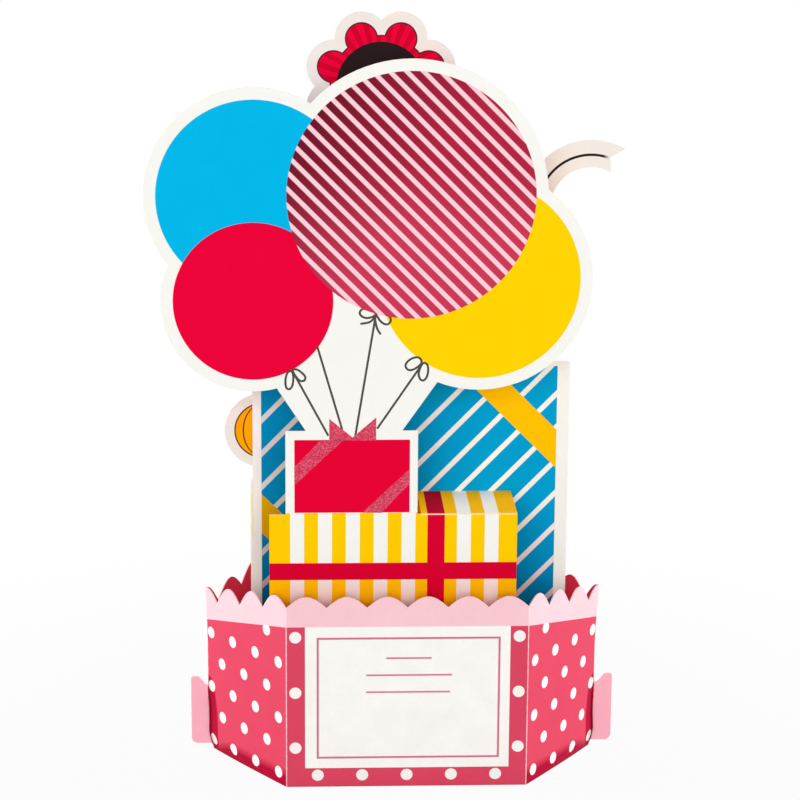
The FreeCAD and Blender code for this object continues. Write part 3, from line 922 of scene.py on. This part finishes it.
def foil_print():
    """Crimson foil with a painted reflection, dark at the upper left and paler low down, with pale stripes
    that fall to the right.
    """
    colours = settings("colours")
    work = CardPrint("balloon_foil", colours.foil)
    # Painted reflection: paler below, darkest at the upper left.
    reflected = work.blend(work.z.rise(*FOIL_PALE_REFLECTION), colours.foil, colours.foil_pale_reflection)
    lit = (work.x - work.z * FOIL_FALL).rise(*FOIL_DARK_REFLECTION)
    work.ink = work.blend(lit, colours.foil_dark_reflection, reflected)
    grain = work.noise(3.2, 3.0)
    work.ink = work.blend(grain * 0.04, work.ink, tone(236, 120, 150))
    work.lay(stripes(work.x + work.z, *STRIPED_STRIPES), colours.stripe, soft=0.08)
    return work.ends(roughness=0.5, gloss=0.04, tooth=0.4, mottle=0.05)


class CARD_OT_balloon_foil(Operator):
    """The foil disc of the striped balloon"""

    bl_idname = "pop_card.balloon_foil"
    bl_label = "Balloon foil"

    def execute(self, context):
        x, z, radius = STRIPED
        turns = [math.tau * k / FOIL_CORNERS for k in range(FOIL_CORNERS)]
        rim = [(x + radius * math.cos(turn), z + radius * math.sin(turn)) for turn in turns]
        piece = laid_on(rim, settings("sheets").raised, *FOIL_GRID)
        smooth(piece, 30)
        finish_piece(piece, "striped_balloon_foil", "printed_card", foil_print())
        return {"FINISHED"}


# Outlines across and up in millimetres, flakes per millimetre, and how much thicker than foil.
GLITTER = {
    "glitter_bow": ((-25.7, 124.4), (-18.1, 118.1), (-10.4, 124.8), (-10.4, 117.05), (-25.7, 117.1)),
    "glitter_ribbon_left": ((-28.4, 117.3), (-21.1, 117.3), (-37.1, 102.0), (-37.1, 108.1)),
    "glitter_ribbon_right": ((0.6, 107.3), (0.65, 102.3), (-8.55, 92.5), (-14.8, 92.6)),
}
GLITTER_GRID = range(-36, 2, 4), range(94, 126, 4)
FLAKES, GLITTER_THICKER = 4.2, 1.6


def glitter():
    """Rose glitter: small flakes, tilted by a bump so that they catch the light in different directions,
    with painted glints on some and painted shade on others.
    """
    work = CardPrint("rose_glitter", settings("colours").glitter)
    flakes = work.tree.nodes.new("ShaderNodeTexVoronoi")
    flakes.inputs["Scale"].default_value = FLAKES
    work.tree.links.new(work.place, flakes.inputs["Vector"])
    pick = apart(work.tree, flakes.outputs["Color"])[0]
    # Painted glints on the palest flakes and painted shade on the darkest.
    work.lay(pick - 0.72, tone(246, 176, 196), soft=0.08, strength=0.3)
    work.lay(0.3 - pick, tone(170, 30, 70), soft=0.1, strength=0.25)
    return work.ends(roughness=0.45, gloss=0.2, tooth=0.5, mottle=0.06, grain=pick, depth=0.03)


class CARD_OT_glitter_ribbon(Operator):
    """The glitter bow and ribbon on the small gift"""

    bl_idname = "pop_card.glitter_ribbon"
    bl_label = "Glitter ribbon"

    def execute(self, context):
        thickness, finish = GLITTER_THICKER * settings("sheets").raised, glitter()
        for name, outline in GLITTER.items():
            piece = laid_on(outline, thickness, *GLITTER_GRID)
            finish_piece(piece, name, "printed_card", finish)
        return {"FINISHED"}


# How far a printed string stands out, and how far in front of the sheet its middle lies.
STRING_RAISED, STRING_FORWARD = 0.03 * MM, 0.02 * MM


def draw_line(points, width, closed=False):
    """A printed line through points, flattened onto the front sheet."""
    bpy.ops.curve.primitive_nurbs_path_add()
    line = bpy.context.object
    curve = line.data
    curve.splines.clear()
    spline = curve.splines.new("NURBS")
    spline.points.add(len(points) - 1)
    for point, (x, z) in zip(spline.points, points):
        point.co = (CENTRE + x * MM, 0.0, z * MM, 1.0)
    spline.order_u = 3
    spline.use_cyclic_u = closed
    spline.use_endpoint_u = not closed
    spline.resolution_u = 8
    curve.dimensions = "3D"
    curve.bevel_depth = width / 2
    curve.bevel_resolution = 2
    curve.use_fill_caps = True
    pick_only(line)
    bpy.ops.object.convert(target="MESH")
    line = bpy.context.object
    flat = STRING_RAISED / (width / 2)
    for vertex in line.data.vertices:
        vertex.co.y = FRONT_FACE - STRING_FORWARD + vertex.co.y * flat
    return line


STRINGS = (
    ((-37.5, 140.2), (-26.0, 118.7)),
    ((-29.6, 148.6), (-21.5, 120.8)),
    ((-10.7, 159.0), (-17.2, 118.6)),
    ((4.5, 142.7), (-10.1, 121.0)),
    ((-10.8, 158.5), (-11.9, 157.0), (-13.2, 156.3), (-15.7, 156.0)),
    ((-11.0, 158.0), (-10.6, 155.2), (-9.9, 153.7), (-9.1, 152.5)),
)
BOW_LOOPS = (
    ((-38.1, 140.7), (-39.4, 139.9), (-40.0, 137.4), (-39.8, 134.9), (-38.9, 134.2),
     (-37.8, 134.9), (-37.3, 137.2), (-37.4, 139.6)),
    ((-37.8, 140.9), (-36.2, 141.1), (-34.6, 139.9), (-33.3, 138.5), (-33.7, 137.1),
     (-35.1, 137.0), (-36.3, 138.2), (-37.2, 139.7)),
    ((-10.4, 159.4), (-12.6, 160.8), (-14.3, 161.2), (-15.7, 160.5), (-16.0, 159.3),
     (-15.0, 158.2), (-13.4, 157.8), (-11.4, 158.4)),
    ((-10.8, 159.3), (-9.2, 159.9), (-7.3, 159.3), (-6.1, 158.3), (-5.7, 157.0),
     (-6.6, 155.8), (-7.9, 155.8), (-9.3, 156.9), (-10.2, 158.4)),
    ((4.5, 143.2), (3.6, 144.8), (2.2, 144.9), (0.6, 144.3), (-0.8, 143.0), (-1.1, 141.8),
     (-0.1, 140.5), (1.5, 140.7), (3.1, 141.7)),
    ((4.7, 143.1), (6.0, 142.8), (6.4, 141.4), (6.4, 139.7), (5.8, 137.8), (4.7, 136.9),
     (3.6, 137.7), (3.2, 139.4), (3.8, 141.5)),
)


class CARD_OT_strings(Operator):
    """The balloon strings and their bows"""

    bl_idname = "pop_card.strings"
    bl_label = "Strings"

    def execute(self, context):
        width = settings("sheets").line
        lines = []
        for run in STRINGS:
            (x0, z0), (x1, z1) = run[:2]
            middle = (((x0 + x1) / 2, (z0 + z1) / 2),) if len(run) == 2 else ()
            lines.append(draw_line((run[0], *middle, *run[1:]), width))
        lines += [draw_line(loop, width, True) for loop in BOW_LOOPS]
        pick_only(*lines)
        bpy.ops.object.join()
        piece = bpy.context.object
        settle(piece)
        bend_sheet(piece)
        ink = plain_card("string_ink", settings("colours").string, roughness=0.6, gloss=0.2)
        finish_piece(piece, "balloon_strings", "printed_card", ink)
        return {"FINISHED"}


# The wide sheet: its blue field, white diagonals and two yellow ribbons that fall to the right.
BLUE_FIELD = (-48.1, 51.5, -20.0, 135.4)
DIAGONAL_SLOPE, DIAGONALS = 1.024, (11.6, 2.45, 73.3)
TAPES = ((151.5, 164.8), (29.5, 43.2))
# Painted shade: its inks grow darker towards the sleeve and, from right to left, behind the strings.
LOW_SHADE = (60.0, 88.0, tone(245, 216, 224))
LEFT_SHADE = (0.0, 30.0, tone(224, 226, 230))


def blue_print():
    """White diagonals and yellow ribbons on blue, in a white border, with painted shade low down and
    towards the left.
    """
    colours = settings("colours")
    work = CardPrint("blue_print", colours.card)
    field = work.rectangle(*BLUE_FIELD)
    work.lay(field, colours.blue)
    work.lay(stripes(work.z - work.x * DIAGONAL_SLOPE, *DIAGONALS).least(field), colours.card)
    for tape in TAPES:
        work.lay(between(work.x + work.z, *tape).least(field), colours.tape)
    # Painted shade towards the sleeve and on the left, where the front sheet shades it.
    work.paint_shade(work.z, *LOW_SHADE)
    work.paint_shade(work.x, *LEFT_SHADE)
    work.lay(0.0 - field, colours.card)
    return work.ends(roughness=0.6, gloss=0.02, mottle=0.03)


class CARD_OT_blue_sheet(Operator):
    """The wide blue gift sheet behind the striped gift"""

    bl_idname = "pop_card.blue_sheet"
    bl_label = "Blue sheet"

    def execute(self, context):
        piece = standing_sheet("blue_gift_sheet")
        finish_piece(piece, "blue_sheet", "blue_card", blue_print(), cut_edge())
        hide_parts("blue_gift_sheet")
        return {"FINISHED"}


# The backdrop: a stem with dots on a second gift, two discs, and what stands out beside them.
STEM, STEM_DOT, STEM_PITCH = (-60.0, 60.0, 96.0, 205.0), 1.1, 4.0
BACK_GIFT, BACK_STRIPES = (-60.0, 60.0, -10.0, 96.0), (10.0, 4.6, -43.0)
BACK_UPRIGHT, BACK_LEVEL = (-6.0, 4.0), (-50.4, 60.0, 52.0, 62.0)
PALE_SIDE = (-60.0, -50.4, 76.0, 92.0)
DISCS, DISC_BORDER = {"sky": (-38.0, 176.0, 20.0), "red": (24.0, 172.0, 22.0)}, 3.5
ROSETTE, ROSETTE_GROUND, ROSETTE_DARK = (-8.4, 229.2), 27.0, 14.6
PETALS, PETAL_RING, PETAL_RADIUS, OUTLINE, PLEATS = 8, 16.8, 5.4, 0.45, 16
ROSETTE_RING, RING_HALF, ROSETTE_HEART = 5.8, 0.4, 4.5
LANTERN, LANTERN_GROUND, LANTERN_EDGE, LANTERN_RADIUS = (-47.5, 113.3), 13.5, 9.6, 9.15
RIB_SPREADS, RIB_HALF = (0.0, 0.36, 0.72), 0.22
STREAMER, STREAMER_BAND, STREAMER_LEFT = (61.2, 189.4), (12.0, 24.0), 43.0
STREAMER_LINE, LINE_HALF = 17.3, 0.42
STREAMER_TURNS, LINE_TURNS = (-2.0, 0.75), (-2.0, 0.30)


def polar(work, x, z):
    """Distance from a centre and the turn from straight up, for prints that go round."""
    offset = work.vector("SUBTRACT", work.flat, (x, 0.0, z))
    across, _, up = apart(work.tree, offset)
    distance = Ink(work.tree, work.vector("LENGTH", offset, (0, 0, 0), output=1))
    return distance, across.step("ARCTAN2", up)


def petal_edge(distance, turn):
    """How far inside the rosette's ring of round petals a place is."""
    half = math.pi / PETALS
    off = turn.step("PINGPONG", half) - half
    across, along = off.step("SINE") * distance, off.step("COSINE") * distance - PETAL_RING
    return (PETAL_RADIUS - how_far(across, along)).most(PETAL_RING - distance)


def lay_rosette(work, colours):
    """Pleated red petals round a dark middle with a pale ring."""
    distance, turn = polar(work, *ROSETTE)
    work.lay(ROSETTE_GROUND - distance, colours.shaded_backdrop_white)
    edge = petal_edge(distance, turn)
    work.lay(edge, colours.dark)
    work.lay(edge - OUTLINE, colours.red)
    pleat = (turn / (math.pi / PLEATS)).step("FRACT") - 0.5
    work.lay(pleat.least(edge - OUTLINE), tone(206, 0, 46), soft=0.02)
    work.lay(ROSETTE_DARK - distance, colours.dark)
    work.lay(RING_HALF - abs(distance - ROSETTE_RING), colours.shaded_backdrop_white)
    work.lay(ROSETTE_HEART - distance, colours.red)


def lay_lantern(work, colours):
    """A ribbed orange paper lantern."""
    x, z = LANTERN
    brown = tone(58, 30, 18)
    work.lay(work.circle(x, z, LANTERN_GROUND), colours.shaded_backdrop_white)
    work.lay(work.circle(x, z, LANTERN_EDGE), brown)
    paper = work.circle(x, z, LANTERN_RADIUS)
    work.lay(paper, colours.orange)
    up = work.z - z
    reach = (LANTERN_RADIUS * LANTERN_RADIUS - up * up).most(0.0).step("SQRT")
    for spread in RIB_SPREADS:
        rib = RIB_HALF - abs(abs(work.x - x) - reach * spread)
        work.lay(rib.least(paper), brown)


def lay_streamer(work, colours):
    """A curled pale streamer with a dark line along it."""
    distance, turn = polar(work, *STREAMER)
    shown = work.x - STREAMER_LEFT
    band = between(distance, *STREAMER_BAND).least(between(turn, *STREAMER_TURNS))
    work.lay(band.least(shown), colours.shaded_backdrop_white)
    line = (LINE_HALF - abs(distance - STREAMER_LINE)).least(between(turn, *LINE_TURNS))
    work.lay(line.least(shown), colours.dark)


def backdrop_print():
    """A second gift, a rosette with a dark middle, a lantern, a streamer and discs."""
    colours = settings("colours")
    # The backdrop's whites carry painted shade.
    work = CardPrint("backdrop_print", colours.shaded_backdrop_white)
    stem, gift = work.rectangle(*STEM), work.rectangle(*BACK_GIFT)
    work.lay(stem, colours.band)
    dots = how_far(work.x.step("PINGPONG", STEM_PITCH), work.z.step("PINGPONG", STEM_PITCH))
    work.lay((STEM_DOT - dots).least(stem), colours.shaded_backdrop_white)
    work.lay(gift, colours.yellow)
    work.lay(stripes(work.x, *BACK_STRIPES).least(gift), colours.shaded_backdrop_white)
    work.lay(work.rectangle(*PALE_SIDE), tone(243, 230, 184))
    work.lay(between(work.x, *BACK_UPRIGHT).least(gift), colours.ribbon)
    work.lay(work.rectangle(*BACK_LEVEL), colours.ribbon)
    for ink, disc in DISCS.items():
        field = work.circle(*disc)
        work.lay(field + DISC_BORDER, colours.shaded_backdrop_white)
        work.lay(field, getattr(colours, ink))
    lay_rosette(work, colours)
    lay_lantern(work, colours)
    lay_streamer(work, colours)
    return work.ends(roughness=0.6, gloss=0.02, mottle=0.03)


class CARD_OT_backdrop(Operator):
    """The die-cut backdrop behind the brace"""

    bl_idname = "pop_card.backdrop"
    bl_label = "Backdrop"

    def execute(self, context):
        piece = standing_sheet("party_backdrop")
        finish_piece(piece, "backdrop_sheet", "printed_card", backdrop_print(), cut_edge())
        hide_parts("party_backdrop")
        return {"FINISHED"}


def paint(node, finish):
    """Gives a CAD piece its finish."""
    node.data.materials.clear()
    node.data.materials.append(finish)


class CARD_OT_brace(Operator):
    """The pink cross brace whose hooks lock the sleeve"""

    bl_idname = "pop_card.brace"
    bl_label = "Brace"

    def execute(self, context):
        finish = plain_card("brace_card", settings("colours").brace, tone(250, 226, 228), mottle=0.05)
        paint(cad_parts["lock_brace"], finish)
        return {"FINISHED"}


class CARD_OT_spacers(Operator):
    """The folded white strips that keep the sheets apart"""

    bl_idname = "pop_card.spacers"
    bl_label = "Spacers"

    def execute(self, context):
        finish = plain_card("spacer_card", tone(244, 240, 232), roughness=0.7, gloss=0.15, tooth=0.7)
        for name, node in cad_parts.items():
            if "_spacer_" in name:
                paint(node, finish)
        return {"FINISHED"}


# Floor, lamps and camera

# Each lamp has a name, a setting for its power, a place, and a width and height.
LAMPS = (
    ("left_softbox", "side_lamps", (-0.92, 0.2, 0.3), (0.4, 0.4)),
    ("right_softbox", "side_lamps", (0.92, 0.2, 0.3), (0.4, 0.4)),
    ("front_softbox", "front_lamp", (0.0, -1.9, 0.6), (1.6, 1.0)),
    ("rear_softbox", "rear_lamp", (0.0, 1.9, 0.6), (1.6, 1.0)),
)
AIM_HEIGHT = 0.12
FLOOR_PAPER, ROOM_LIGHT = (0.4, 0.4, 0.4), (1.0, 0.995, 0.985)
# How bright the camera sees the floor near the card, from where it brightens, and how fast.
GLOW_NEAR, GLOW_START, GLOW_RISE = 0.955, 0.12, 0.3
# Millimetres from the middle of the card, and degrees.
CAMERA_PLACE = (-40.659, -876.922, 339.719)
CAMERA_PITCH, CAMERA_YAW, CAMERA_ROLL = 13.8237, 2.5605, 0.4034


def seen_directly(tree, *kinds):
    """1 for what these kinds of ray see, and 0 for the light that falls on the card."""
    path = tree.nodes.new("ShaderNodeLightPath")
    seen = Ink(tree, path.outputs["Is Camera Ray"])
    for kind in kinds:
        seen = seen.most(Ink(tree, path.outputs[kind]))
    return seen


def mix_shaders(tree, output, share, first, second):
    """Sends one shader turning into another to an output."""
    mix = tree.nodes.new("ShaderNodeMixShader")
    for socket, value in zip(mix.inputs, (share, first.outputs[0], second.outputs[0])):
        feed(tree, socket, value)
    tree.links.new(mix.outputs[0], output.inputs[0])


class CARD_OT_stage(Operator):
    """White floor, soft lamps, a pale room and the camera"""

    bl_idname = "pop_card.stage"
    bl_label = "Stage"

    def execute(self, context):
        stage, scene = settings("stage"), context.scene
        scene.view_settings.view_transform = "Standard"
        bpy.ops.mesh.primitive_grid_add(x_subdivisions=4, y_subdivisions=4, size=stage.floor_size)
        floor = bpy.context.object
        floor.name = "floor"
        floor.data.materials.append(self.floor_finish())
        self.room(scene)
        for name, power, place, size in LAMPS:
            self.lamp(name, getattr(stage, power), place, size)
        self.camera(scene)
        return {"FINISHED"}

    def floor_finish(self):
        """White paper that the camera sees bright, and that still takes the card's shadow."""
        material = bpy.data.materials.new("floor_paper")
        tree, output = clean_tree(material, "Material")
        paper = tree.nodes.new("ShaderNodeBsdfDiffuse")
        paper.inputs[0].default_value = (*FLOOR_PAPER, 1)
        glow = tree.nodes.new("ShaderNodeEmission")
        glow.inputs["Strength"].default_value = 1.0
        place = apart(tree, tree.nodes.new("ShaderNodeTexCoord").outputs["Object"])
        beyond = (how_far(*place[:2]) - GLOW_START) * GLOW_RISE
        bright = beyond.step("MAXIMUM", 0.0) + GLOW_NEAR
        share = seen_directly(tree, "Is Transmission Ray") * bright.least(1.0)
        mix_shaders(tree, output, share, paper, glow)
        return material

    def room(self, scene):
        """A warm soft light on the card, and plain white behind it."""
        scene.world = scene.world or bpy.data.worlds.new("room")
        tree, output = clean_tree(scene.world, "World")
        light, white = (tree.nodes.new("ShaderNodeBackground") for _ in range(2))
        light.inputs["Color"].default_value = (*ROOM_LIGHT, 1)
        light.inputs["Strength"].default_value = settings("stage").sky_light
        white.inputs["Color"].default_value = (1, 1, 1, 1)
        share = seen_directly(tree, "Is Glossy Ray", "Is Transmission Ray")
        mix_shaders(tree, output, share, light, white)

    def lamp(self, name, power, place, size):
        bpy.ops.object.light_add(type="AREA", location=place)
        lamp = bpy.context.object
        lamp.name = name
        lamp.data.shape = "RECTANGLE"
        lamp.data.size, lamp.data.size_y = size
        lamp.data.energy = power
        aim = Vector((CENTRE, 0.0, AIM_HEIGHT)) - Vector(place)
        lamp.rotation_euler = aim.to_track_quat("-Z", "Y").to_euler()

    def camera(self, scene):
        across, deep, up = (part * MM for part in CAMERA_PLACE)
        bpy.ops.object.camera_add(location=(CENTRE + across, deep, up))
        camera = bpy.context.object
        pitch, yaw, roll = (math.radians(a) for a in (CAMERA_PITCH, CAMERA_YAW, CAMERA_ROLL))
        turn = Euler((math.pi / 2 - pitch, 0, -yaw)).to_matrix() @ Matrix.Rotation(roll, 3, "Z")
        camera.rotation_euler = turn.to_euler()
        camera.data.sensor_width = 36.0
        camera.data.lens = settings("stage").focal_length
        camera.data.clip_start, camera.data.clip_end = 0.02, 50.0
        scene.camera = camera


OPERATORS = (
    CARD_OT_stage,
    CARD_OT_sleeve,
    CARD_OT_brace,
    CARD_OT_blue_sheet,
    CARD_OT_front_sheet,
    CARD_OT_balloon_foil,
    CARD_OT_glitter_ribbon,
    CARD_OT_strings,
    CARD_OT_backdrop,
    CARD_OT_spacers,
)


class CARD_PT_pieces(Panel):
    """Buttons for each piece of the card"""

    bl_label = "Pop up card"
    bl_space_type = "VIEW_3D"
    bl_region_type = "UI"
    bl_category = "Pop up card"

    def draw(self, context):
        for operator in OPERATORS:
            self.layout.operator(operator.bl_idname)


SETTINGS = {
    "sleeve": SleeveSizes,
    "sheets": SheetSizes,
    "colours": CardColours,
    "stage": StageSettings,
}


def register():
    for kind, group in SETTINGS.items():
        bpy.utils.register_class(group)
        setattr(bpy.types.Scene, f"pop_card_{kind}", PointerProperty(type=group))
    for item in (*OPERATORS, CARD_PT_pieces):
        bpy.utils.register_class(item)


def unregister():
    for item in reversed((*OPERATORS, CARD_PT_pieces)):
        bpy.utils.unregister_class(item)
    for kind, group in SETTINGS.items():
        delattr(bpy.types.Scene, f"pop_card_{kind}")
        bpy.utils.unregister_class(group)


def main():
    register()
    for operator in OPERATORS:
        group, name = operator.bl_idname.split(".")
        if getattr(getattr(bpy.ops, group), name)() != {"FINISHED"}:
            raise RuntimeError(f"{operator.bl_label} was not finished")


if __name__ == "__main__":
    main()
